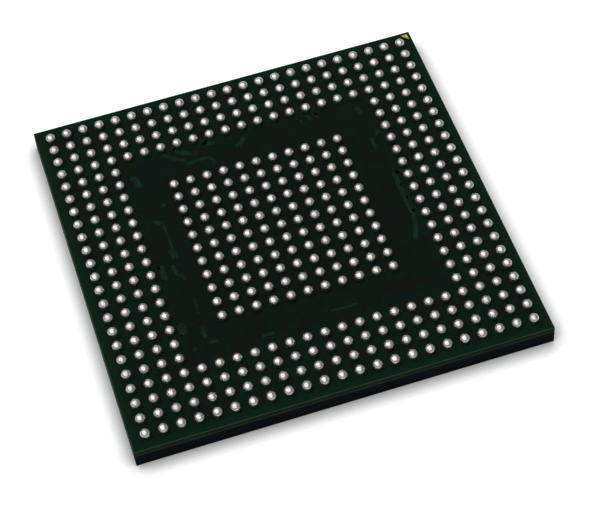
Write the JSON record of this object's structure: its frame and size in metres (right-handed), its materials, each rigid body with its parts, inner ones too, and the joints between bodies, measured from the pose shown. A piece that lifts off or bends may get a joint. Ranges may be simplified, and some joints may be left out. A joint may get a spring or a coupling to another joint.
{
  "type": "ball grid array chip",
  "caption": "Square overmoulded ball grid array chip with a ring of solder balls round a middle field on a green laminate, and a gold corner mark.",
  "frame": {"origin": "middle of the mould face, which the package lies on", "axes": "+Z from the mould face towards the solder balls; X and Y along the sides, with the A1 corner mark at +X +Y"},
  "size_m": [0.019, 0.019, 0.0014],
  "materials": {
    "solder": "satin silver solder, softly dulled by reflow",
    "solder_mask": "glossy dark green solder mask",
    "laminate": "sawn edge of glass-cloth laminate, dark olive green",
    "mould_compound": "near-black moulding compound, sawn sides and a fine matte face",
    "gold_plate": "thin gold plating over nickel and copper",
    "gold_wire": "drawn gold wire",
    "copper": "etched copper",
    "die_attach_film": "cured die attach film",
    "silicon": "polished silicon",
    "bond_pad_aluminium": "bare aluminium bond pads"
  },
  "bodies": {
    "root": {"ball_row_a": "solder", "ball_row_b": "solder", "ball_row_c": "solder", "ball_row_d": "solder", "ball_row_e": "solder", "ball_row_f": "solder", "ball_row_g": "solder", "ball_row_h": "solder", "ball_row_j": "solder", "ball_row_k": "solder", "ball_row_l": "solder", "ball_row_m": "solder", "ball_row_n": "solder", "ball_row_p": "solder", "ball_row_r": "solder", "ball_row_t": "solder", "ball_row_u": "solder", "ball_row_v": "solder", "ball_row_w": "solder", "ball_row_y": "solder", "ball_row_aa": "solder", "ball_row_ab": "solder", "ball_row_ac": "solder", "ball_side_solder_mask": "solder_mask", "ball_pads": "copper", "ground_plane": "copper", "a1_corner_mark": "gold_plate", "substrate_core": "laminate", "via_barrels": "copper", "via_plugs": "solder_mask", "die_side_traces": "copper", "die_paddle": "copper", "bond_fingers": "gold_plate", "die_side_solder_mask": "solder_mask", "die_attach": "die_attach_film", "silicon_die": "silicon", "die_bond_pads": "bond_pad_aluminium", "bond_wires_a_side": "gold_wire", "bond_wires_1_side": "gold_wire", "bond_wires_ac_side": "gold_wire", "bond_wires_23_side": "gold_wire", "mold_cap": "mould_compound"}
  },
  "joints": []
}
